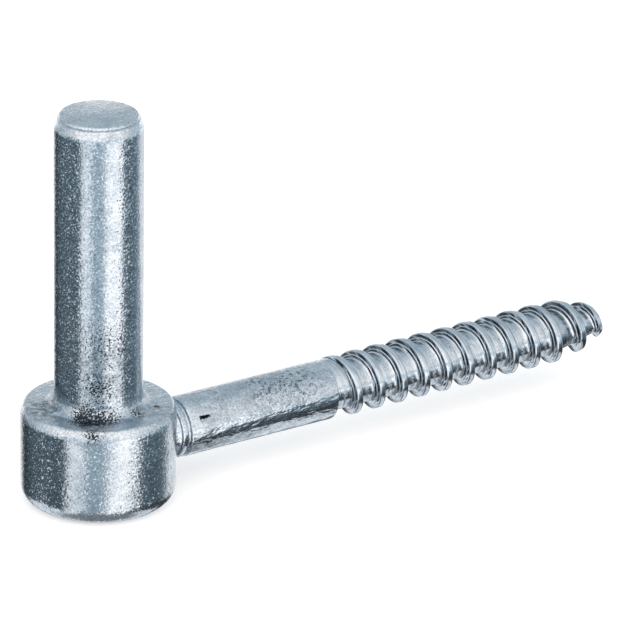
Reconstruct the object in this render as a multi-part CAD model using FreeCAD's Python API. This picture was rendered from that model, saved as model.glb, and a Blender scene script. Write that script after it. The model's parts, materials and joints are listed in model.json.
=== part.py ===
"""Screw-in gate hinge pin: an upright pin on a round collar, with a wood-screw stem to one side.

The whole object is one piece of zinc-plated steel. Units are millimetres. The origin is on the pin's
axis, in the plane of the collar's top face, where the gate's hinge eye sits. +Z runs up the pin and
+X runs along the stem, from the collar to the screw's tip. Stations are distances along the stem from
the pin's axis. Bearings are degrees round the stem, from +Y towards +Z.
"""
import FreeCAD
import Part

import math
import os

from FreeCAD import Placement, Rotation, Vector

# Pin that the gate's hinge eye drops over
PIN_DIAMETER = 16.0
PIN_LENGTH = 55.0              # from the collar's top face to the pin's end
PIN_LEAD_IN_WIDTH = 1.0        # how far the lead-in cone draws in at the pin's end
PIN_LEAD_IN_LENGTH = 2.2
PIN_FOOT_FILLET = 2.0          # between the pin and the collar's top face

# Collar that carries the gate's weight
COLLAR_DIAMETER = 28.0
COLLAR_HEIGHT = 18.5
COLLAR_TOP_ROUNDING = 1.3
COLLAR_BOTTOM_ROUNDING = 3.5
ROUNDING_FLATS = 4             # narrow turned flats in each of these roundings

# Stem: a grooved neck with a bead round it, then a plain shank
STEM_DROP = 8.6                # stem axis below the collar's top face
NECK_DIAMETER = 9.9
NECK_LENGTH = 2.5              # from the collar's side to the shank
BEAD_DIAMETER = 10.8
BEAD_WIDTH = 1.2               # at its foot
BEAD_CREST_WIDTH = 0.6
SHANK_DIAMETER = 11.1
SHANK_LENGTH = 32.0
SHANK_EDGE_CHAMFER = 0.3

# Rolled wood-screw thread, right-handed. Its flanks are steep near the crest and spread at the foot
THREAD_LENGTH = 62.0           # from the shank to the tip
THREAD_PITCH = 5.0
THREAD_CREST_DIAMETER = 11.5
THREAD_ROOT_DIAMETER = 8.5
THREAD_CREST_WIDTH = 1.1
THREAD_KNEE_WIDTH = 1.65       # ridge width where the flank starts to spread
THREAD_KNEE_HEIGHT = 0.55      # of that place over the root
THREAD_BASE_WIDTH = 2.3        # ridge width at the root
THREAD_START_SETBACK = 0.7     # middle of the ridge past the shank, where it starts
THREAD_START_BEARING = -90.0   # the ridge starts under the stem
RIDGE_RUN_IN_TURNS = 0.35      # the ridge rises to its full height over this part of a turn
RIDGE_RUN_OUT_TURNS = 0.12     # and sinks away at the tip over this part
RIDGE_SINK = 0.5               # how deep the ridge's foot lies inside the root
GROOVE_START_TURNS = 0.4       # the groove starts at the shank's level this far round the thread
GROOVE_RUN_IN_TURNS = 0.45     # and sinks to the root over this part of a turn

# Blunt point, cropped flat at the tip
POINT_LENGTH = 12.0
POINT_ROOT_DIAMETER = 3.8      # at the tip
POINT_CREST_DIAMETER = 5.3     # at the tip
POINT_STRETCH = 1.2            # how far the last turns are drawn out towards the tip
POINT_EDGE_CHAMFER = 0.5

# Tool nick on the side of the shank
NICK_STATION = 2.2             # start of the nick past the shank's start
NICK_LENGTH = 2.9
NICK_WIDTH = 1.5
NICK_DEPTH = 0.7               # at the end nearer the collar, and none at the other end
NICK_BEARING = 149.0           # of its steep upper edge

SECTIONS_PER_TURN = 10

SHANK_START = COLLAR_DIAMETER / 2 + NECK_LENGTH
SHANK_END = SHANK_START + SHANK_LENGTH
STEM_TIP = SHANK_END + THREAD_LENGTH
POINT_START = STEM_TIP - POINT_LENGTH
THREAD_START = SHANK_END + THREAD_START_SETBACK
THREAD_TURNS = (STEM_TIP - THREAD_START - POINT_STRETCH) / THREAD_PITCH
THREAD_HEIGHT = (THREAD_CREST_DIAMETER - THREAD_ROOT_DIAMETER) / 2
FOOT_SPREAD = (THREAD_BASE_WIDTH - THREAD_KNEE_WIDTH) / 2 / THREAD_KNEE_HEIGHT
STEM_ORIGIN = Vector(0, 0, -STEM_DROP)
STEM_AXIS = Vector(1, 0, 0)


def rounded_corner(before, corner, after, radius):
    """Points along the arc that rounds a corner between its two sides, ends included."""
    to_before = (before - corner).normalize()
    to_after = (after - corner).normalize()
    half_angle = to_before.getAngle(to_after) / 2
    to_centre = (to_before + to_after).normalize() * (radius / math.sin(half_angle))
    arc = Part.Arc(
        corner + to_before * (radius / math.tan(half_angle)),
        corner + to_centre * (1 - math.sin(half_angle)),
        corner + to_after * (radius / math.tan(half_angle)),
    )
    return arc.discretize(ROUNDING_FLATS + 1)


def turned(outline, origin, axis):
    """A solid turned from a closed outline of points about an axis."""
    return Part.Face(Part.makePolygon(outline + outline[:1])).revolve(origin, axis, 360)


def pin_and_collar():
    """The pin, its foot fillet and the collar, turned about the Z axis."""
    pin = PIN_DIAMETER / 2
    collar = COLLAR_DIAMETER / 2
    under_middle = Vector(0, 0, -COLLAR_HEIGHT)
    under_edge = Vector(collar, 0, -COLLAR_HEIGHT)
    top_edge = Vector(collar, 0, 0)
    pin_foot = Vector(pin, 0, 0)
    lead_in_start = Vector(pin, 0, PIN_LENGTH - PIN_LEAD_IN_LENGTH)
    outline = [under_middle]
    outline += rounded_corner(under_middle, under_edge, top_edge, COLLAR_BOTTOM_ROUNDING)
    outline += rounded_corner(under_edge, top_edge, pin_foot, COLLAR_TOP_ROUNDING)
    outline += rounded_corner(top_edge, pin_foot, lead_in_start, PIN_FOOT_FILLET)
    outline += [lead_in_start, Vector(pin - PIN_LEAD_IN_WIDTH, 0, PIN_LENGTH), Vector(0, 0, PIN_LENGTH)]
    return turned(outline, Vector(0, 0, 0), Vector(0, 0, 1))


def stem_point(station, radius, bearing=90.0):
    """A point at a station along the stem, a radius from its axis and a bearing round it."""
    turn = math.radians(bearing)
    return STEM_ORIGIN + Vector(station, radius * math.cos(turn), radius * math.sin(turn))


def into_point(station):
    """How far a station lies into the screw's point, from 0 before it to 1 at the tip."""
    return max(0.0, station - POINT_START) / POINT_LENGTH


def root_radius(station):
    """Radius of the thread's root, a plain cone in the point."""
    drop = THREAD_ROOT_DIAMETER - POINT_ROOT_DIAMETER
    return (THREAD_ROOT_DIAMETER - drop * into_point(station)) / 2


def crest_radius(station):
    """Radius of the fully risen crest, curving in over the point."""
    drop = THREAD_CREST_DIAMETER - POINT_CREST_DIAMETER
    return (THREAD_CREST_DIAMETER - drop * into_point(station) ** 2) / 2


def stem_core():
    """The neck with its bead, the shank and the thread's root down to the tip, turned about the stem."""
    neck = NECK_DIAMETER / 2
    bead = BEAD_DIAMETER / 2
    bead_middle = COLLAR_DIAMETER / 2 + NECK_LENGTH / 2
    shank = SHANK_DIAMETER / 2
    tip_edge = STEM_TIP - POINT_EDGE_CHAMFER
    profile = [
        (0, 0),
        (0, neck),
        (bead_middle - BEAD_WIDTH / 2, neck),
        (bead_middle - BEAD_CREST_WIDTH / 2, bead),
        (bead_middle + BEAD_CREST_WIDTH / 2, bead),
        (bead_middle + BEAD_WIDTH / 2, neck),
        (SHANK_START, neck),
        (SHANK_START, shank - SHANK_EDGE_CHAMFER),
        (SHANK_START + SHANK_EDGE_CHAMFER, shank),
        (SHANK_END - SHANK_EDGE_CHAMFER, shank),
        (SHANK_END, shank - SHANK_EDGE_CHAMFER),
        (SHANK_END, root_radius(SHANK_END)),
        (POINT_START, root_radius(POINT_START)),
        (tip_edge, root_radius(tip_edge)),
        (STEM_TIP, root_radius(STEM_TIP) - POINT_EDGE_CHAMFER),
        (STEM_TIP, 0),
    ]
    return turned([stem_point(station, radius) for station, radius in profile], STEM_ORIGIN, STEM_AXIS)


def ridge_station(turns):
    """Station of the ridge's middle, with the turns drawn further apart in the first half of the point."""
    even = THREAD_START + THREAD_PITCH * turns
    drawn = min(1.0, into_point(even) * 2)
    return even + POINT_STRETCH * drawn * drawn * (3 - 2 * drawn)


def ridge_section(turns):
    """Outline of the thread's ridge where it has made this many turns."""
    station = ridge_station(turns)
    bearing = THREAD_START_BEARING + 360 * turns
    foot = root_radius(station) - RIDGE_SINK
    buried = root_radius(station) - RIDGE_SINK / 2
    rise = min(1.0, turns / RIDGE_RUN_IN_TURNS, (THREAD_TURNS - turns) / RIDGE_RUN_OUT_TURNS)
    crest = buried + (crest_radius(station) - buried) * rise
    share = (crest - foot) / (THREAD_HEIGHT + RIDGE_SINK)
    crest_half = THREAD_CREST_WIDTH / 2
    knee_half = crest_half + (THREAD_KNEE_WIDTH / 2 - crest_half) * share
    foot_half = crest_half + (THREAD_BASE_WIDTH / 2 + RIDGE_SINK * FOOT_SPREAD - crest_half) * share
    knee = foot + (THREAD_KNEE_HEIGHT + RIDGE_SINK) * share
    flank = [(foot_half, foot), (knee_half, knee), (crest_half, crest)]
    corners = [stem_point(station - half, radius, bearing) for half, radius in flank]
    corners += [stem_point(station + half, radius, bearing) for half, radius in reversed(flank)]
    return Part.makePolygon(corners + corners[:1])


def groove_floor_section(turns):
    """Outline of the metal between the shank and the first ridge, where the groove starts shallow."""
    station = THREAD_START + THREAD_PITCH * turns
    bearing = THREAD_START_BEARING + 360 * turns
    foot = root_radius(station) - RIDGE_SINK
    level = SHANK_DIAMETER / 2 - RIDGE_SINK / 20
    sunk = min(1.0, max(0.0, (turns - GROOVE_START_TURNS) / GROOVE_RUN_IN_TURNS))
    floor = level + (root_radius(station) - RIDGE_SINK / 2 - level) * sunk
    inside_shank = SHANK_END - SHANK_EDGE_CHAMFER * 2
    corners = [
        stem_point(inside_shank, foot, bearing),
        stem_point(inside_shank, floor, bearing),
        stem_point(station, floor, bearing),
        stem_point(station, foot, bearing),
    ]
    return Part.makePolygon(corners + corners[:1])


def loft_round(section, start_turns, end_turns):
    """A solid lofted round the stem between two places on the thread."""
    count = max(2, round((end_turns - start_turns) * SECTIONS_PER_TURN))
    step = (end_turns - start_turns) / count
    return Part.makeLoft([section(start_turns + step * index) for index in range(count + 1)], True)


def thread():
    """The thread's ridge in lofts of about a turn each, and the floor of the groove where it starts."""
    lofts = math.ceil(THREAD_TURNS)
    share = THREAD_TURNS / lofts
    ridge = [loft_round(ridge_section, share * index, share * (index + 1)) for index in range(lofts)]
    return ridge + [loft_round(groove_floor_section, 0, GROOVE_START_TURNS + GROOVE_RUN_IN_TURNS)]


def beyond_tip():
    """The space past the screw's cropped tip."""
    return Part.makeCylinder(THREAD_CREST_DIAMETER, THREAD_PITCH, stem_point(STEM_TIP, 0), STEM_AXIS)


def shank_nick():
    """A tilted block that takes a wedge out of the shank, deepest where its upper edge starts."""
    block = Part.makeBox(NICK_LENGTH, NICK_WIDTH * 2, NICK_WIDTH * 2, Vector(0, -NICK_WIDTH * 2, 0))
    tilt = math.degrees(math.asin(NICK_DEPTH / NICK_WIDTH))
    rise = math.degrees(math.asin(NICK_DEPTH / NICK_LENGTH))
    steep_edge = stem_point(SHANK_START + NICK_STATION, SHANK_DIAMETER / 2 - NICK_DEPTH, NICK_BEARING)
    lie = Rotation(STEM_AXIS, NICK_BEARING - 90 - tilt) * Rotation(Vector(0, 1, 0), -rise)
    block.Placement = Placement(steep_edge, lie)
    return block


def main():
    stem = stem_core().fuse(thread()).cut(beyond_tip())
    body = pin_and_collar().fuse(stem).removeSplitter().cut(shank_nick())
    os.makedirs("parts", exist_ok=True)
    body.exportStep("parts/gate_hinge_pin.step")


main()
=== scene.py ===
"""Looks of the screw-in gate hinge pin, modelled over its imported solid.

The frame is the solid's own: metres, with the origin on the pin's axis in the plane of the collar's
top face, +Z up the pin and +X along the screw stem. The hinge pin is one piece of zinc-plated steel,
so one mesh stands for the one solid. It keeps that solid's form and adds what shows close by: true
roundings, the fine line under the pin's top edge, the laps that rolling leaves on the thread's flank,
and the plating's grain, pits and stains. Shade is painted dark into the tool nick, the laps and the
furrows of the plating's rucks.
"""

import json
import logging
import math
from contextlib import contextmanager
from dataclasses import dataclass
from enum import Enum
from itertools import pairwise
from typing import Any, Callable, Iterator, Sequence

import bmesh
import bpy
from mathutils import Matrix, Vector, noise
from mathutils.kdtree import KDTree

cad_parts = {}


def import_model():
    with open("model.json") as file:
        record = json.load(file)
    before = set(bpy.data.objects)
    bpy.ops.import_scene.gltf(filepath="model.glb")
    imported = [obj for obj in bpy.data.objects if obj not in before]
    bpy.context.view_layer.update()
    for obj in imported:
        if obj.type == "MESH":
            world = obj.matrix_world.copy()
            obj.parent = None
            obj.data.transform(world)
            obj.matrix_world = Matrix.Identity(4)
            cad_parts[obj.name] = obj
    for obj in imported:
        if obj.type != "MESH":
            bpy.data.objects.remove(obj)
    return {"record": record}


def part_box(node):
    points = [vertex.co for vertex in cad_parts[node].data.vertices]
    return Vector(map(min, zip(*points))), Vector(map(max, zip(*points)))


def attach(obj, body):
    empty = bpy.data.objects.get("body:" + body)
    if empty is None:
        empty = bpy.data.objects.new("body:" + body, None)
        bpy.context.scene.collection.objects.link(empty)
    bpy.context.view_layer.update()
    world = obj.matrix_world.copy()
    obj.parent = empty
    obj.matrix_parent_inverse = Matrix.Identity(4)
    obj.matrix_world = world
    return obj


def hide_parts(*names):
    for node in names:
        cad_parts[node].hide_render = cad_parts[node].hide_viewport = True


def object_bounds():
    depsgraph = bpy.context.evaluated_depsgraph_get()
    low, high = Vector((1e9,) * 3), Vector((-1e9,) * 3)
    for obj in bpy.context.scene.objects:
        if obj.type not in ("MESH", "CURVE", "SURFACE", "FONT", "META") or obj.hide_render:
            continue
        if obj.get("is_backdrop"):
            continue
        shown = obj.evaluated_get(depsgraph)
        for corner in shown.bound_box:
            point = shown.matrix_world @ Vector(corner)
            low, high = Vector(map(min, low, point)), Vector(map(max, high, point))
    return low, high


LOG = logging.getLogger("gate_hinge_pin")

NODE = "gate_hinge_pin"
BODY = "root"

MM = 0.001
NEAR = 0.00001
IMAGE_SIDE = 622
SMOOTH_ANGLE = math.radians(32)
WINDING = "winding"
ON_THREAD = 10


class TurningAxis(Enum):
    """The two axes that the hinge pin's round forms are turned about."""

    PIN = (0.0, 0.0, 1.0)
    STEM = (1.0, 0.0, 0.0)


class Joining(Enum):
    """How one form is put together with another."""

    ADD = "UNION"
    TAKE_AWAY = "DIFFERENCE"


@dataclass(frozen=True)
class Corner:
    """A corner of a turned outline, in metres, with the rounding that it gets."""

    along: float
    out: float
    rounding: float = 0.0
    steps: int = 6


def linear_colour(hex_colour: str) -> tuple[float, float, float, float]:
    """Turns an sRGB hex colour into linear light.

    Args:
        hex_colour: Six hex digits after a number sign.

    Returns:
        Red, green, blue and an alpha of one.
    """
    shares = [int(hex_colour[start : start + 2], 16) / 255 for start in (1, 3, 5)]
    red, green, blue = [s / 12.92 if s <= 0.04045 else ((s + 0.055) / 1.055) ** 2.4 for s in shares]
    return (red, green, blue, 1.0)


def add_node(
    tree: bpy.types.NodeTree,
    kind: str,
    settings: dict[str, Any] | None = None,
    inputs: dict[str | int, Any] | None = None,
) -> bpy.types.Node:
    """Adds a node with its settings, and links or sets its sockets.

    Args:
        tree: The node tree that gets the node.
        kind: The node's type name.
        settings: Values for the node's own properties.
        inputs: For each input socket, a value or the output socket that feeds it.

    Returns:
        The new node.
    """
    node = tree.nodes.new(kind)
    for name, value in (settings or {}).items():
        setattr(node, name, value)
    for key, value in (inputs or {}).items():
        if isinstance(value, bpy.types.NodeSocket):
            tree.links.new(value, node.inputs[key])
        else:
            node.inputs[key].default_value = value
    return node


def choose(piece: bpy.types.Object) -> None:
    """Makes one piece the only selected and active one.

    Args:
        piece: The object to work on.
    """
    bpy.ops.object.select_all(action="DESELECT")
    piece.select_set(True)
    bpy.context.view_layer.objects.active = piece


@contextmanager
def editing(piece: bpy.types.Object) -> Iterator[None]:
    """Opens one piece in edit mode, with its vertices to pick from, and closes it afterwards.

    Args:
        piece: The mesh object to shape.

    Returns:
        A context in which edit-mode operators act on the piece.
    """
    choose(piece)
    bpy.ops.object.mode_set(mode="EDIT")
    bpy.ops.mesh.select_mode(type="VERT")
    bpy.ops.mesh.select_all(action="SELECT")
    yield
    bpy.ops.object.mode_set(mode="OBJECT")


def pick(piece: bpy.types.Object, wanted: Callable[[Vector], bool]) -> None:
    """Selects the vertices of a piece in edit mode by their place.

    Args:
        piece: The mesh object in edit mode.
        wanted: Says whether a vertex at this place is selected.
    """
    mesh = bmesh.from_edit_mesh(piece.data)
    for vertex in mesh.verts:
        vertex.select = wanted(vertex.co)
    mesh.select_flush_mode()
    bmesh.update_edit_mesh(piece.data)


def at_place(place: Vector) -> Callable[[Vector], bool]:
    """A test for vertices that lie at one place.

    Args:
        place: The place, in metres.

    Returns:
        A function that is true for a vertex there.
    """
    return lambda point: (point - place).length < NEAR


def draw_outline(name: str, corners: Sequence[Corner], axis: TurningAxis) -> bpy.types.Object:
    """Draws an open outline from one vertex, corner by corner, and rounds its corners.

    Args:
        name: Name of the new piece.
        corners: The outline's corners, along the axis and out from it.
        axis: The axis that the outline will be turned about.

    Returns:
        A piece of bare edges, in the plane of the two axes.
    """
    if axis is TurningAxis.PIN:
        places = [Vector((corner.out, 0, corner.along)) for corner in corners]
    else:
        places = [Vector((corner.along, 0, corner.out)) for corner in corners]
    bpy.ops.object.select_all(action="DESELECT")
    bpy.ops.mesh.primitive_plane_add(size=MM)
    outline = bpy.context.active_object
    outline.name = name
    with editing(outline):
        bpy.ops.mesh.merge(type="CENTER")
        bpy.ops.transform.translate(value=places[0])
        for before, after in pairwise(places):
            bpy.ops.mesh.extrude_region_move(TRANSFORM_OT_translate={"value": after - before})
        for corner, place in zip(corners, places):
            if corner.rounding:
                pick(outline, at_place(place))
                bpy.ops.mesh.bevel(offset=corner.rounding, segments=corner.steps, affect="VERTICES")
    return outline


def close_up(piece: bpy.types.Object) -> None:
    """Merges a piece's doubled vertices and turns its faces outwards.

    Args:
        piece: A mesh that closes on itself.
    """
    with editing(piece):
        bpy.ops.mesh.remove_doubles(threshold=NEAR / 4)
        bpy.ops.mesh.normals_make_consistent(inside=False)


def turn(outline: bpy.types.Object, axis: TurningAxis, steps: int) -> None:
    """Turns an outline into a closed round form.

    Args:
        outline: Bare edges that start and end on the axis.
        axis: The axis through the piece's origin.
        steps: Faces round the form.
    """
    with editing(outline):
        bpy.ops.mesh.spin(steps=steps, angle=math.tau, center=(0, 0, 0), axis=axis.value)
    close_up(outline)


def apply_modifier(piece: bpy.types.Object, kind: str, **settings: Any) -> None:
    """Adds a modifier to a piece and applies it.

    Args:
        piece: The piece that changes.
        kind: The modifier's type name.
        **settings: Values for the modifier's properties.
    """
    choose(piece)
    modifier = piece.modifiers.new(kind.title(), kind)
    for name, value in settings.items():
        setattr(modifier, name, value)
    bpy.ops.object.modifier_apply(modifier=modifier.name)


def combine(piece: bpy.types.Object, other: bpy.types.Object, joining: Joining) -> None:
    """Adds another form to a piece, or takes it away, and removes the other form.

    Args:
        piece: The piece that changes.
        other: The form that is used up.
        joining: Whether the form is added or taken away.
    """
    apply_modifier(piece, "BOOLEAN", operation=joining.value, solver="EXACT", object=other)
    bpy.data.objects.remove(other)


@dataclass(frozen=True)
class PlatingPatch:
    """A round patch of the plating that is pitted, stained, rucked or painted dark as shade.

    Places and sizes are in millimetres in the part's frame. Density is 0 for none and 1 for crowded,
    and more than 2 makes one solid spot.
    """

    place: tuple[float, float, float]
    reach: float
    density: float


@dataclass(frozen=True)
class ZincPlating:
    """Zinc electroplate, blue passivated, over turned and rolled steel.

    The eye sees a cold, faintly blue mirror broken up by a fine sandy grain, so that the studio's
    light and dark walls show as bands with ragged, sparkling edges. Dull pits pepper it where the
    steel was scaled, and the film's tone drifts over a few millimetres. The shank is rippled and
    rucked, and the rucks' furrows are painted dark as shade. On the thread the rolling has left
    streaks round the groove and laps on the flank, and the laps are painted dark as their shade.
    Solid dark spots paint the shade in the tool nick.

    Sizes and places are in millimetres. The real grain, its facets and the pits are finer than a
    pixel of the render, so they are drawn about three times as coarse as they are. An edge gives the
    pattern's values at which a mark starts and is full.
    """

    name: str = "zinc_electroplate_blue"
    film: str = "#cbd6df"
    film_dull: str = "#9dacb9"
    # The stain colour, also used as painted shade in the rucks' furrows
    stain_and_shade: str = "#5f6d78"
    # The pit colour also paints shade into the tool nick and the thread's laps
    pit_and_shade: str = "#2c353c"
    roughness: float = 0.13
    roughness_dull: float = 0.22
    pattern_roughness: float = 0.6
    grain_size: float = 0.36
    grain_depth: float = 0.03
    grain_tone: float = 1.2
    facet_size: float = 0.4
    facet_lean: tuple[float, float, float] = (0.1, 0.1, 0.25)
    facet_lean_stem: tuple[float, float, float] = (0.03, 0.03, 0.03)
    facet_flash: float = 58.0
    ripple_size: float = 1.1
    ripple_stretch: float = 2.6
    ripple_depth: float = 0.2
    ruck_size: float = 0.85
    ruck_depth: float = 0.22
    # Ruck heights at which the painted furrow shade starts and is full
    furrow_shade_edge: tuple[float, float] = (0.47, 0.39)
    drift_size: float = 3.0
    drift_edge: tuple[float, float] = (0.25, 0.8)
    blot_size: float = 1.2
    blot_edge: tuple[float, float] = (0.38, 0.62)
    pit_size: float = 0.34
    pit_depth: float = 0.06
    pit_edge: tuple[float, float] = (0.69, 0.75)
    pit_crowding: float = 0.28
    streak_width: float = 0.3
    streak_turns: float = 4.0
    streak_depth: float = 0.03
    streak_tone: float = 1.3
    # Painted shade in the thread's laps: its breaks, offset between the two laps, edges and full share
    lap_shade_breaks: float = 17.0
    lap_shade_apart: float = 0.4
    lap_shade_edge: tuple[float, float] = (0.3, 0.55)
    lap_shade_full: float = 0.97
    stem_start: tuple[float, float] = (14.0, 17.0)
    stem_grain: float = 0.3
    thread_grain: float = 0.1
    pin_ripple: float = 0.15
    collar_top_reach: tuple[float, float] = (2.2, 0.8)
    collar_top_ripple: float = 0.5
    underside: tuple[float, float] = (-13.0, -10.5)
    flaws_and_shade: tuple[PlatingPatch, ...] = (
        PlatingPatch((-6.8, -5.9, 0.6), 5.2, 1.15),
        PlatingPatch((-4.6, -7.4, 0.5), 4.4, 1.05),
        PlatingPatch((-2.6, -8.5, 0.4), 3.4, 0.9),
        PlatingPatch((-8.6, 4.0, 0.3), 2.6, 0.9),
        PlatingPatch((2.5, -9.0, 0.4), 3.2, 0.8),
        PlatingPatch((-4.3, -6.7, 6.0), 6.0, 0.8),
        PlatingPatch((-3.6, -7.1, 14.0), 10.0, 0.55),
        PlatingPatch((-8.3, -11.2, -0.5), 3.0, 0.85),
        PlatingPatch((7.7, -7.2, 0.0), 0.85, 2.4),
        # Solid dark spots along the tool nick's upper wall: painted shade in the nick
        PlatingPatch((18.9, -4.36, -5.77), 0.7, 2.4),
        PlatingPatch((19.5, -4.44, -5.75), 0.62, 2.4),
        PlatingPatch((20.1, -4.52, -5.73), 0.52, 2.4),
        PlatingPatch((20.6, -4.58, -5.72), 0.4, 2.4),
        PlatingPatch((37.0, -2.6, -3.9), 9.0, 0.45),
    )
    # The rucks' furrows are also painted dark as shade
    rucks: tuple[PlatingPatch, ...] = (
        PlatingPatch((33.0, -2.8, -4.1), 7.5, 0.9),
        PlatingPatch((41.0, -3.2, -4.4), 8.0, 0.9),
        PlatingPatch((24.0, -2.4, -4.0), 7.0, 0.5),
    )
    stains: tuple[PlatingPatch, ...] = (
        PlatingPatch((-6.3, -8.5, -0.4), 6.0, 1.0),
        PlatingPatch((-3.6, -7.1, 9.0), 11.0, 0.65),
        PlatingPatch((21.0, -5.2, -10.4), 5.0, 1.0),
                PlatingPatch((23.0, -3.5, -5.5), 8.0, 0.35),
        PlatingPatch((31.0, -3.5, -6.0), 8.0, 0.35),
        PlatingPatch((-10.0, 2.0, 1.0), 7.0, 1.3),
        PlatingPatch((6.0, -8.5, 1.0), 6.0, 0.7),
    )

    def material(self) -> bpy.types.Material:
        """Builds the plating's material.

        Returns:
            A metal with grain, ripple, rucks, tone drift, pits, stains and rolling marks, and with
            painted shade in the nick, the laps and the rucks' furrows.
        """
        material = bpy.data.materials.new(self.name)
        material.use_nodes = True
        tree = material.node_tree
        tree.nodes.clear()
        place = add_node(tree, "ShaderNodeTexCoord").outputs["Object"]
        drawn_out = add_node(
            tree,
            "ShaderNodeVectorMath",
            {"operation": "MULTIPLY"},
            {0: place, 1: (1 / self.ripple_stretch, 1.0, 1.0)},
        ).outputs["Vector"]
        grain, ripple, rucks, drift, blots, speckle = [
            add_node(
                tree,
                "ShaderNodeTexNoise",
                None,
                {
                    "Vector": where,
                    "Scale": 1 / (size * MM),
                    "Detail": finer_layers,
                    "Roughness": self.pattern_roughness,
                },
            ).outputs["Fac"]
            for where, size, finer_layers in (
                (place, self.grain_size, 1.0),
                (drawn_out, self.ripple_size, 2.0),
                (place, self.ruck_size, 2.0),
                (place, self.drift_size, 4.0),
                (place, self.blot_size, 3.0),
                (place, self.pit_size, 2.0),
            )
        ]
        streaks, lap_shade, rolled = self.rolling_marks(tree)
        on_stem, grainy, gritty, uneven, in_light = self.zones(tree, place, rolled)
        rucked = self.patches(tree, place, self.rucks)
        # Pits, joined with the painted shade of the nick and of the thread's laps
        pits_and_shade = add_node(
            tree,
            "ShaderNodeMath",
            {"operation": "MAXIMUM"},
            {0: self.pits_and_shade(tree, place, speckle), 1: lap_shade},
        ).outputs["Value"]
        dull = self.dullness(tree, grain, grainy, drift, streaks)
        colour: bpy.types.NodeSocket | tuple[float, ...] = linear_colour(self.film)
        # The stain colour also paints shade into the rucks' furrows, and the pit colour into the nick and
        # the laps
        for share, tint in (
            (dull, self.film_dull),
            (self.stains_and_furrow_shade(tree, place, blots, rucks, rucked), self.stain_and_shade),
            (pits_and_shade, self.pit_and_shade),
        ):
            colour = add_node(
                tree,
                "ShaderNodeMix",
                {"data_type": "RGBA"},
                {"Factor": share, 6: colour, 7: linear_colour(tint)},
            ).outputs[2]
        rough = add_node(
            tree,
            "ShaderNodeMapRange",
            None,
            {"Value": dull, "To Min": self.roughness, "To Max": self.roughness_dull},
        ).outputs["Result"]
        normal: bpy.types.NodeSocket | None = None
        for pattern, depth, strength in (
            (ripple, self.ripple_depth, uneven),
            (rucks, self.ruck_depth, rucked),
            (grain, self.grain_depth, gritty),
            (streaks, self.streak_depth, in_light),
            (pits_and_shade, -self.pit_depth, 1.0),
        ):
            relief = {"Strength": strength, "Distance": abs(depth) * MM, "Height": pattern}
            if normal:
                relief["Normal"] = normal
            normal = add_node(tree, "ShaderNodeBump", {"invert": depth < 0}, relief).outputs["Normal"]
        shader = add_node(
            tree,
            "ShaderNodeBsdfPrincipled",
            None,
            {
                "Base Color": colour,
                "Metallic": 1.0,
                "Roughness": rough,
                "Normal": self.sparkle(tree, place, on_stem, grainy, normal),
            },
        )
        add_node(tree, "ShaderNodeOutputMaterial", None, {"Surface": shader.outputs["BSDF"]})
        return material

    def zones(
        self, tree: bpy.types.NodeTree, place: bpy.types.NodeSocket, rolled: bpy.types.NodeSocket
    ) -> list[bpy.types.NodeSocket]:
        """How strong each relief is on the pin and collar, on the stem and on the thread.

        Args:
            tree: The material's nodes.
            place: The surface's place in the part's frame.
            rolled: 1 on the thread and 0 elsewhere.

        Returns:
            1 on the stem, the facets' strength, the grain's, the ripple's, and 1 above the underside.
        """
        along, _, height = add_node(tree, "ShaderNodeSeparateXYZ", None, {0: place}).outputs
        off_top = add_node(tree, "ShaderNodeMath", {"operation": "ABSOLUTE"}, {0: height}).outputs[0]
        on_stem, on_top, grainy = [
            add_node(
                tree,
                "ShaderNodeMapRange",
                None,
                {"Value": value, "From Min": low, "From Max": high, "To Min": start, "To Max": end},
            ).outputs["Result"]
            for value, (low, high), start, end in (
                (along, [edge * MM for edge in self.stem_start], 0.0, 1.0),
                (off_top, [edge * MM for edge in self.collar_top_reach], 0.0, self.collar_top_ripple),
                (rolled, (0.0, 1.0), 1.0, self.thread_grain),
            )
        ]
        rippled = add_node(
            tree, "ShaderNodeMath", {"operation": "MAXIMUM"}, {0: on_stem, 1: on_top}
        ).outputs["Value"]
        strengths = []
        for zone, start, end in ((on_stem, 1.0, self.stem_grain), (rippled, self.pin_ripple, 1.0)):
            share = add_node(
                tree, "ShaderNodeMapRange", None, {"Value": zone, "To Min": start, "To Max": end}
            ).outputs["Result"]
            strengths += add_node(
                tree, "ShaderNodeMath", {"operation": "MULTIPLY"}, {0: share, 1: grainy}
            ).outputs[:1]
        in_light = add_node(
            tree,
            "ShaderNodeMapRange",
            {"interpolation_type": "SMOOTHSTEP"},
            {
                "Value": height,
                "From Min": self.underside[0] * MM,
                "From Max": self.underside[1] * MM,
            },
        ).outputs["Result"]
        return [on_stem, grainy, *strengths, in_light]

    def dullness(
        self,
        tree: bpy.types.NodeTree,
        grain: bpy.types.NodeSocket,
        grainy: bpy.types.NodeSocket,
        drift: bpy.types.NodeSocket,
        streaks: bpy.types.NodeSocket,
    ) -> bpy.types.NodeSocket:
        """How dull the film is: flecked by the grain, drifting, and streaked on the thread.

        Args:
            tree: The material's nodes.
            grain: The grain's pattern.
            grainy: 1 where the grain is full and less on the rolled thread.
            drift: The slow pattern of the film's tone.
            streaks: The pattern of streaks round the groove.

        Returns:
            0 on bright film and 1 on dull film.
        """
        flecks = add_node(
            tree,
            "ShaderNodeMath",
            {"operation": "MULTIPLY_ADD"},
            {0: grain, 1: self.grain_tone, 2: -self.grain_tone / 2},
        ).outputs["Value"]
        tone = drift
        for pattern, weight in ((flecks, grainy), (streaks, self.streak_tone)):
            tone = add_node(
                tree, "ShaderNodeMath", {"operation": "MULTIPLY_ADD"}, {0: pattern, 1: weight, 2: tone}
            ).outputs["Value"]
        low, high = [edge + self.streak_tone / 2 for edge in self.drift_edge]
        return add_node(
            tree, "ShaderNodeMapRange", None, {"Value": tone, "From Min": low, "From Max": high}
        ).outputs["Result"]

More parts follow.
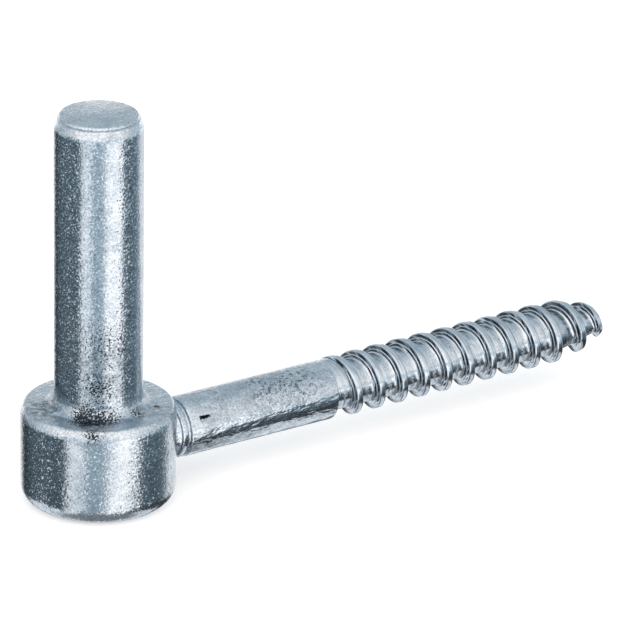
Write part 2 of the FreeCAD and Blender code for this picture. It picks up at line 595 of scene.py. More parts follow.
    def sparkle(
        self,
        tree: bpy.types.NodeTree,
        place: bpy.types.NodeSocket,
        on_stem: bpy.types.NodeSocket,
        grainy: bpy.types.NodeSocket,
        normal: bpy.types.NodeSocket,
    ) -> bpy.types.NodeSocket:
        """Leans the grain's facets, so that single ones flash in a dark band.

        They lean along the turned form more than round it, which keeps the bands apart. Most hardly
        lean, and a few lean far.

        Args:
            tree: The material's nodes.
            place: The surface's place in the part's frame.
            on_stem: 1 on the stem and 0 on the pin and collar.
            grainy: 1 where the grain is full and less on the rolled thread.
            normal: The surface's normal with its relief.

        Returns:
            The normal with the facets.
        """
        facets = add_node(
            tree,
            "ShaderNodeTexNoise",
            None,
            {"Vector": place, "Scale": 1 / (self.facet_size * MM), "Detail": 1.0},
        )
        level = add_node(
            tree,
            "ShaderNodeVectorMath",
            {"operation": "SUBTRACT"},
            {0: facets.outputs["Color"], 1: (0.5, 0.5, 0.5)},
        )
        squared = add_node(
            tree,
            "ShaderNodeVectorMath",
            {"operation": "MULTIPLY"},
            {0: level.outputs["Vector"], 1: level.outputs["Vector"]},
        )
        few_more = add_node(
            tree,
            "ShaderNodeVectorMath",
            {"operation": "MULTIPLY_ADD"},
            {0: squared.outputs["Vector"], 1: [self.facet_flash] * 3, 2: (1.0, 1.0, 1.0)},
        )
        slant = add_node(
            tree,
            "ShaderNodeVectorMath",
            {"operation": "MULTIPLY"},
            {0: level.outputs["Vector"], 1: few_more.outputs["Vector"]},
        )
        lean = add_node(
            tree,
            "ShaderNodeMix",
            {"data_type": "VECTOR"},
            {"Factor": on_stem, 4: self.facet_lean, 5: self.facet_lean_stem},
        )
        full = add_node(
            tree,
            "ShaderNodeVectorMath",
            {"operation": "SCALE"},
            {0: lean.outputs[1], "Scale": grainy},
        )
        leaning = add_node(
            tree,
            "ShaderNodeVectorMath",
            {"operation": "MULTIPLY_ADD"},
            {0: slant.outputs["Vector"], 1: full.outputs["Vector"], 2: normal},
        )
        even = add_node(
            tree, "ShaderNodeVectorMath", {"operation": "NORMALIZE"}, {0: leaning.outputs["Vector"]}
        )
        return even.outputs["Vector"]

    def rolling_marks(
        self, tree: bpy.types.NodeTree
    ) -> tuple[bpy.types.NodeSocket, bpy.types.NodeSocket, bpy.types.NodeSocket]:
        """The marks that the rolls have left along the thread, which follow its winding, with shade
        painted into the flank's laps.

        The painted shade in each lap is broken in its own places along the winding.

        Args:
            tree: The material's nodes.

        Returns:
            The pattern of streaks round the groove, 1 in the painted shade of the flank's laps, and 1 on
            the thread.
        """
        winding = add_node(tree, "ShaderNodeAttribute", {"attribute_name": WINDING}).outputs["Vector"]
        stretch = add_node(
            tree,
            "ShaderNodeVectorMath",
            {"operation": "MULTIPLY"},
            {0: winding, 1: (1 / self.streak_width, self.streak_turns, 0.0)},
        )
        streaks = add_node(
            tree,
            "ShaderNodeTexNoise",
            None,
            {"Vector": stretch.outputs["Vector"], "Scale": 1.0, "Detail": 2.0},
        )
        across, turns, in_lap_shade = add_node(tree, "ShaderNodeSeparateXYZ", None, {0: winding}).outputs
        own_way = add_node(
            tree,
            "ShaderNodeMath",
            {"operation": "MULTIPLY_ADD"},
            {0: across, 1: self.lap_shade_apart, 2: turns},
        )
        breaks = add_node(
            tree,
            "ShaderNodeTexNoise",
            {"noise_dimensions": "1D"},
            {"W": own_way.outputs["Value"], "Scale": self.lap_shade_breaks, "Detail": 3.0},
        )
        # Painted shade in the flank's laps, broken in its own places along the winding
        lap_shade = add_node(
            tree,
            "ShaderNodeMath",
            {"operation": "MULTIPLY", "use_clamp": True},
            {0: in_lap_shade, 1: breaks.outputs["Fac"]},
        )
        lap_shade_share = add_node(
            tree,
            "ShaderNodeMapRange",
            {"interpolation_type": "SMOOTHSTEP"},
            {
                "Value": lap_shade.outputs["Value"],
                "From Min": self.lap_shade_edge[0],
                "From Max": self.lap_shade_edge[1],
                "To Max": self.lap_shade_full,
            },
        )
        rolled = add_node(tree, "ShaderNodeMath", {"operation": "MINIMUM"}, {0: across, 1: 1.0})
        return streaks.outputs["Fac"], lap_shade_share.outputs["Result"], rolled.outputs["Value"]

    def pits_and_shade(
        self, tree: bpy.types.NodeTree, place: bpy.types.NodeSocket, speckle: bpy.types.NodeSocket
    ) -> bpy.types.NodeSocket:
        """Small dull pits, crowded in the flawed patches and rare elsewhere, and solid dark spots of
        painted shade in the tool nick.

        Args:
            tree: The material's nodes.
            place: The surface's place in the part's frame.
            speckle: The pits' own pattern.

        Returns:
            1 in a pit and in the nick's painted shade, and 0 elsewhere.
        """
        crowded = add_node(
            tree,
            "ShaderNodeMath",
            {"operation": "MULTIPLY_ADD"},
            {0: self.patches(tree, place, self.flaws_and_shade), 1: self.pit_crowding, 2: speckle},
        )
        return add_node(
            tree,
            "ShaderNodeMapRange",
            {"interpolation_type": "SMOOTHSTEP"},
            {
                "Value": crowded.outputs["Value"],
                "From Min": self.pit_edge[0],
                "From Max": self.pit_edge[1],
            },
        ).outputs["Result"]

    def stains_and_furrow_shade(
        self,
        tree: bpy.types.NodeTree,
        place: bpy.types.NodeSocket,
        blots: bpy.types.NodeSocket,
        rucks: bpy.types.NodeSocket,
        rucked: bpy.types.NodeSocket,
    ) -> bpy.types.NodeSocket:
        """Dark staining of the film, cloudy round the pin's foot, and painted shade in the furrows of the
        rucks.

        Args:
            tree: The material's nodes.
            place: The surface's place in the part's frame.
            blots: The stains' own pattern.
            rucks: The rucks' own pattern.
            rucked: How far each place is rucked.

        Returns:
            How far the film is darkened by stains and by the furrows' painted shade, from 0 to 1.
        """
        shares = []
        for pattern, edge, where, fade in (
            (blots, self.blot_edge, self.patches(tree, place, self.stains), "LINEAR"),
            (rucks, self.furrow_shade_edge, rucked, "SMOOTHSTEP"),
        ):
            mark = add_node(
                tree,
                "ShaderNodeMapRange",
                {"interpolation_type": fade},
                {"Value": pattern, "From Min": edge[0], "From Max": edge[1]},
            )
            shares += add_node(
                tree,
                "ShaderNodeMath",
                {"operation": "MULTIPLY", "use_clamp": True},
                {0: where, 1: mark.outputs["Result"]},
            ).outputs[:1]
        return add_node(
            tree, "ShaderNodeMath", {"operation": "MAXIMUM"}, dict(enumerate(shares))
        ).outputs["Value"]

    def patches(
        self, tree: bpy.types.NodeTree, place: bpy.types.NodeSocket, flaws_and_shade: Sequence[PlatingPatch]
    ) -> bpy.types.NodeSocket:
        """Soft-edged round patches over the surface.

        Args:
            tree: The material's nodes.
            place: The surface's place in the part's frame.
            flaws_and_shade: The patches.

        Returns:
            The density of the patch that is strongest at each place.
        """
        crowding: bpy.types.NodeSocket | float = 0.0
        for each_patch in flaws_and_shade:
            away = add_node(
                tree,
                "ShaderNodeVectorMath",
                {"operation": "DISTANCE"},
                {0: place, 1: Vector(each_patch.place) * MM},
            )
            patch = add_node(
                tree,
                "ShaderNodeMapRange",
                {"interpolation_type": "SMOOTHSTEP"},
                {
                    "Value": away.outputs["Value"],
                    "From Min": each_patch.reach * MM,
                    "From Max": 0.0,
                    "To Max": each_patch.density,
                },
            )
            crowding = add_node(
                tree,
                "ShaderNodeMath",
                {"operation": "MAXIMUM"},
                {0: patch.outputs["Result"], 1: crowding},
            ).outputs["Value"]
        return crowding


@dataclass
class PinAndCollar:
    """The upright pin, its foot fillet and the collar, turned about the pin's axis.

    Sizes are in metres.
    """

    pin_radius: float
    pin_top: float
    collar_radius: float
    collar_foot: float
    lead_in_width: float = 1.0 * MM
    lead_in_length: float = 2.2 * MM
    lead_in_edge: float = 0.3 * MM
    lead_in_rounding: float = 0.5 * MM
    line_depth: float = 0.22 * MM
    line_drop: float = 0.62 * MM
    line_below: float = 0.2 * MM
    line_above: float = 0.16 * MM
    foot_fillet: float = 2.0 * MM
    crown_width: float = 0.65 * MM
    crown_drop: float = 1.5 * MM
    crown_side_rounding: float = 0.6 * MM
    crown_top_rounding: float = 0.4 * MM
    collar_foot_rounding: float = 3.5 * MM
    faces_round: int = 144

    def build(self) -> bpy.types.Object:
        """Turns the pin and collar from one outline.

        Returns:
            A closed round form.
        """
        corners = [
            Corner(self.collar_foot, 0),
            Corner(self.collar_foot, self.collar_radius, self.collar_foot_rounding, 12),
            Corner(-self.crown_drop, self.collar_radius, self.crown_side_rounding),
            Corner(0, self.collar_radius - self.crown_width, self.crown_top_rounding),
            Corner(0, self.pin_radius, self.foot_fillet, 10),
            Corner(self.pin_top - self.lead_in_length, self.pin_radius, self.lead_in_rounding, 4),
            *self.turned_line(),
            Corner(self.pin_top, self.pin_radius - self.lead_in_width, self.lead_in_edge, 4),
            Corner(self.pin_top, 0),
        ]
        piece = draw_outline("pin_and_collar", corners, TurningAxis.PIN)
        turn(piece, TurningAxis.PIN, self.faces_round)
        return piece

    def turned_line(self) -> list[Corner]:
        """The fine line turned into the lead-in cone just under the pin's top edge.

        Returns:
            Corners from the line's lower side to its upper side.
        """
        slope = self.lead_in_width / self.lead_in_length
        corners = []
        for drop, depth in (
            (self.line_drop + self.line_below, 0),
            (self.line_drop, self.line_depth),
            (self.line_drop - self.line_above, 0),
        ):
            cone_radius = self.pin_radius - self.lead_in_width + slope * drop
            corners.append(Corner(self.pin_top - drop, cone_radius - depth))
        return corners


@dataclass
class Shank:
    """The stem's plain shank with the grooved and beaded neck that joins it to the collar.

    Sizes are in metres. Stations are distances along the stem from the pin's axis.
    """

    axis_height: float
    collar_radius: float
    end: float
    radius: float = 5.55 * MM
    neck_radius: float = 4.95 * MM
    neck_length: float = 2.5 * MM
    bead_radius: float = 5.4 * MM
    bead_width: float = 1.2 * MM
    bead_rounding: float = 0.28 * MM
    neck_rounding: float = 0.1 * MM
    edge: float = 0.3 * MM
    faces_round: int = 128

    def build(self) -> bpy.types.Object:
        """Turns the neck and shank from one outline.

        Returns:
            A closed round form on the stem's axis.
        """
        start = self.collar_radius + self.neck_length
        bead_middle = self.collar_radius + self.neck_length / 2
        bead_half = self.bead_width / 2
        corners = [
            Corner(self.collar_radius / 2, 0),
            Corner(self.collar_radius / 2, self.neck_radius),
            Corner(bead_middle - bead_half, self.neck_radius, self.neck_rounding, 2),
            Corner(bead_middle - bead_half, self.bead_radius, self.bead_rounding, 5),
            Corner(bead_middle + bead_half, self.bead_radius, self.bead_rounding, 5),
            Corner(bead_middle + bead_half, self.neck_radius, self.neck_rounding, 2),
            Corner(start, self.neck_radius, self.neck_rounding, 2),
            Corner(start, self.radius, self.edge, 4),
            Corner(self.end, self.radius, self.edge, 4),
            Corner(self.end, 0),
        ]
        piece = draw_outline("shank", corners, TurningAxis.STEM)
        turn(piece, TurningAxis.STEM, self.faces_round)
        place_on_axis(piece, self.axis_height)
        return piece


@dataclass
class WoodThread:
    """The rolled wood-screw thread, right-handed, down to its blunt point.

    Sizes are in metres. The ridge starts under the stem just past the shank and makes one turn in
    each pitch. The groove starts level with the shank and sinks to the root round the first turn.
    """

    axis_height: float
    shank_end: float
    shank_radius: float
    tip: float
    crest_radius: float
    pitch: float = 5.0 * MM
    root_radius: float = 4.25 * MM
    start_setback: float = 0.7 * MM
    run_in_turns: float = 0.35
    groove_start_turns: float = 0.4
    groove_run_in_turns: float = 0.45
    point_length: float = 12.0 * MM
    point_stretch: float = 1.2 * MM
    tip_root_radius: float = 1.9 * MM
    tip_crest_radius: float = 2.65 * MM
    tip_edge: float = 0.6 * MM
    # Stretches across the flank, in millimetres, where the laps are painted dark as shade
    lap_shade_lines: tuple[tuple[float, float], ...] = ((0.87, 1.01), (0.65, 0.73))
    lap_shade_fade_turns: float = 0.2
    wobble: float = 0.05 * MM
    wobble_size: float = 1.3 * MM
    overlap: float = 1.5 * MM
    below_shank: float = 0.03 * MM
    faces_per_turn: int = 84

    def build(self) -> bpy.types.Object:
        """Winds the ridge's outline into a screw and crops it at both ends.

        Returns:
            A closed threaded form on the stem's axis, its start hidden inside the shank.
        """
        piece = draw_outline("wood_thread", self.outline(), TurningAxis.STEM)
        apply_modifier(
            piece,
            "SCREW",
            axis="X",
            angle=math.tau,
            steps=self.faces_per_turn,
            render_steps=self.faces_per_turn,
            screw_offset=self.pitch,
            iterations=math.ceil((self.tip - self.shank_end) / self.pitch) + 4,
            use_merge_vertices=True,
            merge_threshold=NEAR / 4,
        )
        self.shape_turns(piece)
        with editing(piece):
            bpy.ops.mesh.bisect(
                plane_co=(self.shank_end - self.overlap, 0, 0),
                plane_no=(1, 0, 0),
                use_fill=True,
                clear_inner=True,
                threshold=NEAR / 4,
            )
            bpy.ops.mesh.select_all(action="SELECT")
            bpy.ops.mesh.bisect(
                plane_co=(self.tip, 0, 0),
                plane_no=(1, 0, 0),
                use_fill=True,
                clear_outer=True,
                threshold=NEAR / 4,
            )
        close_up(piece)
        place_on_axis(piece, self.axis_height)
        return piece

    def outline(self) -> list[Corner]:
        """The ridge's outline over one pitch, at the top of the stem, two turns before the shank's end.

        Returns:
            Corners from the middle of one groove to the middle of the next.
        """
        crest = self.crest_radius - self.root_radius
        foot = [(2.5, 0.0), (2.1, 0.0), (1.7, 0.0), (1.4, 0.02), (1.2, 0.08), (1.06, 0.2)]
        lapped = [(1.0, 0.24), (0.92, 0.4), (0.88, 0.6), (0.84, 0.64), (0.75, 0.7), (0.72, 0.78)]
        lapped.append((0.66, 1.2))
        plain = [(0.95, 0.36), (0.87, 0.6), (0.79, 0.9), (0.71, 1.2)]
        edge = [(0.61, crest / MM - 0.09), (0.5, crest / MM - 0.02), (0.3, crest / MM)]
        near = [(-offset, height) for offset, height in foot + lapped + edge]
        points = near + [(0.0, crest / MM)] + list(reversed(foot + plain + edge))
        middle = self.shank_end + self.start_setback + self.pitch / 2 - 2 * self.pitch
        return [Corner(middle + across * MM, self.root_radius + height * MM) for across, height in points]

    def shape_turns(self, piece: bpy.types.Object) -> None:
        """Sinks the ridge and groove at the shank, draws in the point and roughens the rolled metal.

        Each vertex also keeps where it lies on the winding: across the ridge in millimetres, round
        the thread in turns, and how strongly shade is painted there, in the laps on the flank towards the
        shank.

        Args:
            piece: The wound screw, still an even one, about its own X axis.
        """
        start = self.shank_end + self.start_setback
        winding = piece.data.attributes.new(WINDING, "FLOAT_VECTOR", "POINT")
        for vertex, wound in zip(piece.data.vertices, winding.data):
            station, side, up = vertex.co
            even = math.hypot(side, up)
            bearing = (math.atan2(up, side) / math.tau + 0.25) % 1.0
            turns = bearing + round((station - start) / self.pitch - bearing)
            across = (station - start - turns * self.pitch) / MM
            rough = noise.noise(Vector((station, side, up)) / self.wobble_size)
            station += self.point_stretch * self.smooth((station - self.tip) / self.point_length + 1)
            out = self.draw_in(self.at_start(even, turns, across), station)
            out += self.wobble * rough * min(1.0, max(0.0, turns - 1))
            vertex.co = (station, side * out / even, up * out / even)
            # The laps get painted shade, which fades out under the thread
            in_lap_shade = any(low < -across < high for low, high in self.lap_shade_lines)
            clear_of_underside = min(1.0, abs(turns - round(turns)) / self.lap_shade_fade_turns)
            lapped = clear_of_underside * (in_lap_shade and turns > self.run_in_turns)
            wound.vector = (across + ON_THREAD, turns, lapped)
        piece.data.update()

    def smooth(self, share: float) -> float:
        """An even start and end for a change that runs from 0 to 1."""
        held = min(1.0, max(0.0, share * 2))
        return held * held * (3 - 2 * held)

    def at_start(self, out: float, turns: float, across: float) -> float:
        """How far out the metal stands near the thread's start.

        Args:
            out: Distance from the axis on the even screw.
            turns: Turns that the nearest ridge has made there.
            across: How far past the middle of that ridge the place is.

        Returns:
            The distance from the axis, in metres.
        """
        rise = min(1.0, max(0.0, turns / self.run_in_turns))
        out = self.root_radius + (out - self.root_radius) * rise
        ahead = turns if across < 0 else turns + 1
        sunk = min(1.0, max(0.0, (ahead - self.groove_start_turns) / self.groove_run_in_turns))
        level = self.shank_radius - self.below_shank
        return max(out, level + (self.root_radius - level) * sunk)

    def draw_in(self, out: float, station: float) -> float:
        """How far out the metal stands in the screw's point, where root and crest draw in.

        Args:
            out: Distance from the axis on the even screw.
            station: Distance along the stem.

        Returns:
            The distance from the axis, in metres.
        """
        into = max(0.0, station - self.tip + self.point_length) / self.point_length
        cropped = max(0.0, station - self.tip + self.tip_edge) / self.tip_edge
        height = (out - self.root_radius) / (self.crest_radius - self.root_radius)
        root = self.root_radius + (self.tip_root_radius - self.root_radius) * into
        crest = self.crest_radius + (self.tip_crest_radius - self.crest_radius) * into**2
        return max(0.5 * MM, root + (crest - root) * height - self.tip_edge * 0.6 * cropped**2)


@dataclass
class ToolNick:
    """The wedge-shaped nick that a tool has left in the side of the shank.

    Sizes are in metres. The nick is deepest where its upper edge starts, nearest the collar.
    """

    axis_height: float
    shank_start: float
    shank_radius: float
    length: float = 2.9 * MM
    width: float = 1.5 * MM
    depth: float = 0.7 * MM
    bearing: float = math.radians(149.0)
    setback: float = 2.2 * MM

    def build(self) -> bpy.types.Object:
        """Makes the wedge that is taken out of the shank.

        Returns:
            A small closed block that lies across the shank's surface.
        """
        bpy.ops.object.select_all(action="DESELECT")
        bpy.ops.mesh.primitive_cube_add(size=1.0)
        piece = bpy.context.active_object
        piece.name = "tool_nick"
        tall = self.width * 2
        tilt = math.asin(self.depth / self.width)
        out = self.shank_radius - self.depth
        with editing(piece):
            bpy.ops.transform.resize(value=(self.length, tall, tall))
            bpy.ops.transform.translate(value=(self.length / 2, -tall / 2, tall / 2))
        rise = math.asin(self.depth / self.length)
        lie = Matrix.Rotation(self.bearing - math.pi / 2 - tilt, 4, "X") @ Matrix.Rotation(-rise, 4, "Y")
        side, up = out * math.cos(self.bearing), out * math.sin(self.bearing)
        corner = Vector((self.shank_start + self.setback, side, up + self.axis_height))
        piece.matrix_world = Matrix.Translation(corner) @ lie
        choose(piece)
        bpy.ops.object.transform_apply(location=True, rotation=True, scale=True)
        return piece


def place_on_axis(piece: bpy.types.Object, height: float) -> None:
    """Moves a piece that was turned about X onto the stem's axis, in its mesh.

    Args:
        piece: A piece at the origin.
        height: Height of the stem's axis.
    """
    with editing(piece):
        bpy.ops.transform.translate(value=(0, 0, height))


@dataclass
class HingePin:
    """The whole hinge pin: pin, collar, shank and thread made one, nicked and plated."""

    record: dict[str, Any]
    plating: ZincPlating

    def build(self) -> bpy.types.Object:
        """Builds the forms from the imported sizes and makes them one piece.

        Returns:
            The finished hinge pin.
        """
        mounts = {mount["name"]: mount for mount in self.record["mounts"]}
        thread_mount = mounts["wood_thread"]
        low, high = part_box(NODE)
        shank_end, _, axis_height = self.place_of(thread_mount)
        pin = PinAndCollar(self.radius_of(mounts["hinge_pin"]), high.z, high.y, low.z)
        shank = Shank(axis_height, pin.collar_radius, shank_end)
        thread = WoodThread(
            axis_height, shank_end, shank.radius, high.x, self.radius_of(thread_mount)
        )
        nick = ToolNick(axis_height, pin.collar_radius + shank.neck_length, shank.radius)
        piece = pin.build()
        wound = thread.build()
        places = self.take_winding(wound)
        for form in (shank.build(), wound):
            LOG.info("%s: %d faces", form.name, len(form.data.polygons))
            combine(piece, form, Joining.ADD)
        combine(piece, nick.build(), Joining.TAKE_AWAY)
        self.give_winding(piece, places)
        piece.name = "zinc_plated_hinge_pin"
        self.dress(piece)
        return piece

    def take_winding(self, thread: bpy.types.Object) -> list[tuple[Vector, Vector]]:
        """Takes the winding off the thread, because joining two forms doesn't keep it.

        Args:
            thread: The thread before it is joined.

        Returns:
            The place of each vertex with its place on the winding.
        """
        layer = thread.data.attributes[WINDING]
        pairs = zip(thread.data.vertices, layer.data)
        places = [(vertex.co.copy(), Vector(wound.vector)) for vertex, wound in pairs]
        thread.data.attributes.remove(layer)
        return places

    def give_winding(self, piece: bpy.types.Object, places: list[tuple[Vector, Vector]]) -> None:
        """Puts the winding back on those vertices of the joined piece that came from the thread.

        Args:
            piece: The joined piece.
            places: The place of each thread vertex with its place on the winding.
        """
        tree = KDTree(len(places))
        for index, (place, _) in enumerate(places):
            tree.insert(place, index)
        tree.balance()
        layer = piece.data.attributes.new(WINDING, "FLOAT_VECTOR", "POINT")
        for vertex, wound in zip(piece.data.vertices, layer.data):
            _, index, away = tree.find(vertex.co)
            if away < NEAR:
                wound.vector = places[index][1]

    def place_of(self, mount: dict[str, Any]) -> Vector:
        """The place of a mount in the part's frame."""
        return Vector(mount["pos_m"])

    def radius_of(self, mount: dict[str, Any]) -> float:
        """The radius that a mount is made to."""
        return mount["dims"]["r_mm"] * MM

    def dress(self, piece: bpy.types.Object) -> None:
        """Smooths the finished piece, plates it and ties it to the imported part.

        Args:
            piece: The hinge pin's mesh.
        """
        choose(piece)
        bpy.ops.object.shade_smooth_by_angle(angle=SMOOTH_ANGLE)
        piece.data.materials.clear()
        piece.data.materials.append(self.plating.material())
        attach(piece, BODY)
        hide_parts(NODE)


@dataclass(frozen=True)
class RoomLayer:
    """Where one tone of the room takes over from the tones before it.

    A height is the upward part of a direction, from -1 to 1. The slopes tell how much the height
    counts for more to the picture's right, on the camera's side, and behind the hinge pin.
    """

    start: float
    full: float
    to_right: float = 0.0
    in_front: float = 0.0
    behind: float = 0.0


@dataclass
class Studio:
    """The pale floor, the soft light round it and the camera at the photograph's angle.

    Angles are in degrees and lengths in metres. Bearings are taken from the camera's side of the
    hinge pin, positive towards the picture's right. A tone of 1 is white. The walls are tones by
    bearing, the ceiling by how far a direction points to the camera's side, and the lift by height.
    """

    azimuth: float = 34.480
    elevation: float = 22.454
    roll: float = 0.8254
    distance: float = 1.22170
    shift_right: float = -0.037885
    shift_up: float = -0.016236
    focal_pixels: float = 6853.23
    floor_side: float = 8.0
    floor_colour: str = "#f4f5f5"
    floor_glow: float = 0.35
    light: float = 1.5
    light_tint: str = "#fff5ef"
    shade_tint: str = "#cdecfc"
    walls: tuple[tuple[float, float], ...] = (
        (-180, 1.3),
        (-165, 1.3),
        (-152, 1.12),
        (-144, 0.04),
        (-131, 0.04),
        (-122, 0.13),
        (-60, 0.13),
        (-52, 0.1),
        (-48, 0.1),
        (-43, 1.28),
        (-21, 1.2),
        (-14, 0.64),
        (13, 0.64),
        (20, 1.72),
        (57, 1.72),
        (68, 0.22),
        (85, 0.2),
        (115, 0.24),
        (129, 1.2),
        (160, 1.12),
        (170, 1.3),
        (180, 1.3),
    )
    ceiling: tuple[tuple[float, float], ...] = (
        (-1.0, 0.72),
        (-0.9, 0.74),
        (-0.8, 0.84),
        (-0.5, 0.86),
        (-0.25, 0.88),
        (0.0, 1.1),
        (0.15, 1.2),
        (0.34, 1.3),
        (0.45, 1.5),
        (0.9, 1.75),
    )
    floor_tint: str = "#f3f3f4"
    floor_tone: float = 1.2
    floor_shade: float = 0.35
    skirting: float = 0.07
    wall_lean: float = -0.5
    wall_foot: float = -0.38
    backdrop_edge: tuple[float, float] = (0.1, 0.06)
    ceiling_layer: RoomLayer = RoomLayer(-0.16, 0.04, to_right=0.06, behind=0.35)
    skirting_layer: RoomLayer = RoomLayer(-0.44, -0.56, in_front=0.5)
    floor_layer: RoomLayer = RoomLayer(-0.61, -0.71, to_right=0.17, in_front=0.35)
    shade_layer: RoomLayer = RoomLayer(-0.82, -0.94, in_front=-0.25)
    wall_lift: tuple[tuple[float, float], ...] = (
        (-0.33, 0.0),
        (-0.15, 0.6),
        (-0.04, 0.6),
        (0.06, 0.0),
    )

    def axes(self) -> tuple[Vector, Vector, Vector]:
        """Level directions to the picture's right and away from the camera, and the view's own.

        Returns:
            Right, away and along the view.
        """
        turn_angle, dip = math.radians(self.azimuth), math.radians(self.elevation)
        right = Vector((math.cos(turn_angle), -math.sin(turn_angle), 0))
        away = Vector((math.sin(turn_angle), math.cos(turn_angle), 0))
        view = away * math.cos(dip) - Vector((0, 0, math.sin(dip)))
        return right, away, view

    def build(self, floor_height: float) -> None:
        """Sets up the floor, the light and the camera.

        Args:
            floor_height: Height of the hinge pin's lowest place.
        """
        bpy.context.scene.view_settings.view_transform = "Standard"
        self.lay_floor(floor_height)
        self.light_room()
        self.place_camera()

    def lay_floor(self, height: float) -> None:
        """Lays a plain pale floor under the hinge pin.

        Args:
            height: Height of the floor.
        """
        bpy.ops.object.select_all(action="DESELECT")
        bpy.ops.mesh.primitive_plane_add(size=self.floor_side, location=(0, 0, height))
        floor = bpy.context.active_object
        floor.name = "floor"
        floor.data.materials.append(self.floor_material())
        # The metal in the photograph mirrors light and dark walls low down, and a white floor would
        # turn the upright pin plain white, so the mirrored floor is the room's own tone
        floor.visible_glossy = False
        floor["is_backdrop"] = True

    def floor_material(self) -> bpy.types.Material:
        """A matt white board that keeps the soft shadow and otherwise shows as plain white.

        Returns:
            The floor's material.
        """
        material = bpy.data.materials.new("matt_white_board")
        material.use_nodes = True
        tree = material.node_tree
        tree.nodes.clear()
        board = add_node(
            tree, "ShaderNodeBsdfDiffuse", None, {"Color": linear_colour(self.floor_colour)}
        )
        paths = add_node(tree, "ShaderNodeLightPath")
        seen: bpy.types.NodeSocket | float = 0.0
        for path in ("Is Camera Ray", "Is Glossy Ray", "Is Transmission Ray"):
            seen = add_node(
                tree, "ShaderNodeMath", {"operation": "MAXIMUM"}, {0: paths.outputs[path], 1: seen}
            ).outputs["Value"]
        glow = add_node(
            tree, "ShaderNodeMath", {"operation": "MULTIPLY"}, {0: seen, 1: self.floor_glow}
        )
        lift = add_node(tree, "ShaderNodeEmission", None, {"Strength": glow.outputs["Value"]})
        both = add_node(
            tree, "ShaderNodeAddShader", None, {0: board.outputs["BSDF"], 1: lift.outputs["Emission"]}
        )
        add_node(tree, "ShaderNodeOutputMaterial", None, {"Surface": both.outputs["Shader"]})
        return material

    def light_room(self) -> None:
        """Surrounds the hinge pin with soft light.

        Light and dark walls stand under a bright ceiling, a dark skirting runs round a pale floor
        that is shaded under the hinge pin, and a white backdrop closes the room at eye level.
        """
        world = bpy.data.worlds.new("studio")
        bpy.context.scene.world = world
        world.use_nodes = True
        tree = world.node_tree
        tree.nodes.clear()
        right, away, _ = self.axes()
        ray = add_node(tree, "ShaderNodeTexCoord").outputs["Generated"]
        height = add_node(tree, "ShaderNodeSeparateXYZ", None, {0: ray}).outputs["Z"]
        to_right, to_front = [
            add_node(
                tree, "ShaderNodeVectorMath", {"operation": "DOT_PRODUCT"}, {0: ray, 1: way}
            ).outputs["Value"]
            for way in (right, -away)
        ]
        nearer, further = [
            add_node(tree, "ShaderNodeMath", {"operation": side}, {0: to_front, 1: 0.0}).outputs["Value"]
            for side in ("MAXIMUM", "MINIMUM")
        ]
        ceiling = self.tones(tree, to_front, 1.0, self.ceiling)
        skirting, bare_floor, shaded_floor = [
            [part * tone / self.light for part in linear_colour(self.floor_tint)]
            for tone in (self.skirting, self.floor_tone, self.floor_shade)
        ]
        layers = []
        for layer, tone in (
            (self.ceiling_layer, ceiling),
            (self.skirting_layer, skirting),
            (self.floor_layer, bare_floor),
            (self.shade_layer, shaded_floor),
        ):
            edge = height
            for way, slope in (
                (to_right, layer.to_right),
                (nearer, layer.in_front),
                (further, layer.behind),
            ):
                edge = add_node(
                    tree, "ShaderNodeMath", {"operation": "MULTIPLY_ADD"}, {0: way, 1: slope, 2: edge}
                ).outputs["Value"]
            layers.append((edge, layer.start, layer.full, tone))
        level = add_node(tree, "ShaderNodeMath", {"operation": "ABSOLUTE"}, {0: height}).outputs[0]
        white = [1 / self.light, 1 / self.light, 1 / self.light, 1.0]
        layers.append((level, *self.backdrop_edge, white))
        room = self.wall_tones(tree, to_right, to_front, height)
        for edge, start, full, tone in layers:
            share = add_node(
                tree,
                "ShaderNodeMapRange",
                {"interpolation_type": "SMOOTHSTEP"},
                {"Value": edge, "From Min": start, "From Max": full},
            )
            room = add_node(
                tree,
                "ShaderNodeMix",
                {"data_type": "RGBA"},
                {"Factor": share.outputs["Result"], 6: room, 7: tone},
            ).outputs[2]
        lit = add_node(tree, "ShaderNodeBackground", None, {"Color": room, "Strength": self.light})
        add_node(tree, "ShaderNodeOutputWorld", None, {"Surface": lit.outputs["Background"]})

    def wall_tones(
        self,
        tree: bpy.types.NodeTree,
        to_right: bpy.types.NodeSocket,
        to_front: bpy.types.NodeSocket,
        height: bpy.types.NodeSocket,
    ) -> bpy.types.NodeSocket:
        """The walls' light and dark panels, which lean a little and lighten towards the ceiling.

        Args:
            tree: The room's nodes.
            to_right: How far a direction points to the picture's right.
            to_front: How far it points to the camera's side.
            height: How far it points up.

        Returns:
            The walls' colour.
        """
        bearing = add_node(
            tree, "ShaderNodeMath", {"operation": "ARCTAN2"}, {0: to_right, 1: to_front}
        ).outputs["Value"]
        above_foot = add_node(
            tree, "ShaderNodeMath", {"operation": "SUBTRACT"}, {0: height, 1: self.wall_foot}
        ).outputs["Value"]
        leaning = add_node(
            tree,
            "ShaderNodeMath",
            {"operation": "MULTIPLY_ADD"},
            {0: above_foot, 1: self.wall_lean, 2: bearing},
        ).outputs["Value"]
        panels = [(math.radians(at), tone) for at, tone in self.walls]
        return add_node(
            tree,
            "ShaderNodeMix",
            {"data_type": "RGBA", "blend_type": "ADD"},
            {
                "Factor": 1.0,
                6: self.tones(tree, leaning, math.pi, panels),
                7: self.tones(tree, height, 1.0, self.wall_lift),
            },
        ).outputs[2]

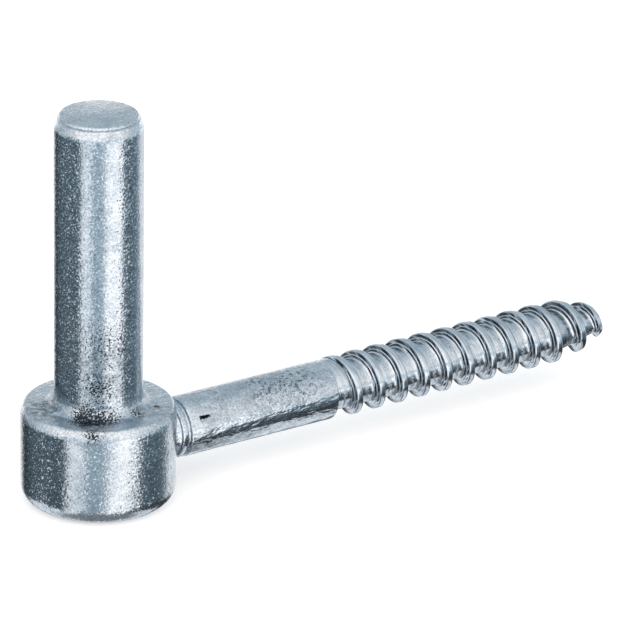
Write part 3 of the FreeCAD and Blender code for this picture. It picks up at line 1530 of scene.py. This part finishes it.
    def tones(
        self,
        tree: bpy.types.NodeTree,
        value: bpy.types.NodeSocket,
        reach: float,
        stops: Sequence[tuple[float, float]],
    ) -> bpy.types.NodeSocket:
        """Light and dark tones along a value, bright ones faintly warm and dark ones cool.

        Args:
            tree: The room's nodes.
            value: What the tones run along.
            reach: The value's highest size, either way.
            stops: Places along the value with the tone at each.

        Returns:
            The colour there.
        """
        share = add_node(
            tree, "ShaderNodeMapRange", None, {"Value": value, "From Min": -reach, "From Max": reach}
        )
        node = add_node(tree, "ShaderNodeValToRGB", None, {"Fac": share.outputs["Result"]})
        ramp = node.color_ramp
        ramp.elements.remove(ramp.elements[-1])
        cool, warm = Vector(linear_colour(self.shade_tint)), Vector(linear_colour(self.light_tint))
        for index, (at, tone) in enumerate(stops):
            position = (at / reach + 1) / 2
            stop = ramp.elements[0] if index == 0 else ramp.elements.new(position)
            stop.position = position
            stop.color = cool.lerp(warm, min(1.0, tone / 1.4) ** 1.4) * (tone / self.light)
        return node.outputs["Color"]

    def place_camera(self) -> None:
        """Puts the camera where the photograph was taken from."""
        right, away, view = self.axes()
        dip, roll = math.radians(self.elevation), math.radians(self.roll)
        up = away * math.sin(dip) + Vector((0, 0, math.cos(dip)))
        across = right * math.cos(roll) + up * math.sin(roll)
        upright = up * math.cos(roll) - right * math.sin(roll)
        stand = -(across * self.shift_right + upright * self.shift_up + view * self.distance)
        lens = bpy.data.cameras.new("camera")
        lens.sensor_width = 36.0
        lens.lens = self.focal_pixels / IMAGE_SIDE * lens.sensor_width
        lens.clip_start, lens.clip_end = 0.01, 100.0
        camera = bpy.data.objects.new("camera", lens)
        bpy.context.scene.collection.objects.link(camera)
        turned = Matrix((across, upright, -view)).transposed().to_4x4()
        camera.matrix_world = Matrix.Translation(stand) @ turned
        bpy.context.scene.camera = camera


def main() -> None:
    """Builds the hinge pin and its studio, with the floor at the lowest place of the imported solid."""
    logging.basicConfig(level=logging.INFO, format="%(name)s: %(message)s")
    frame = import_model()
    solid_box = [list(corner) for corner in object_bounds()]
    piece = HingePin(frame["record"], ZincPlating()).build()
    LOG.info("%s: %d faces", piece.name, len(piece.data.polygons))
    Studio().build(solid_box[0][2])


if __name__ == "__main__":
    main()
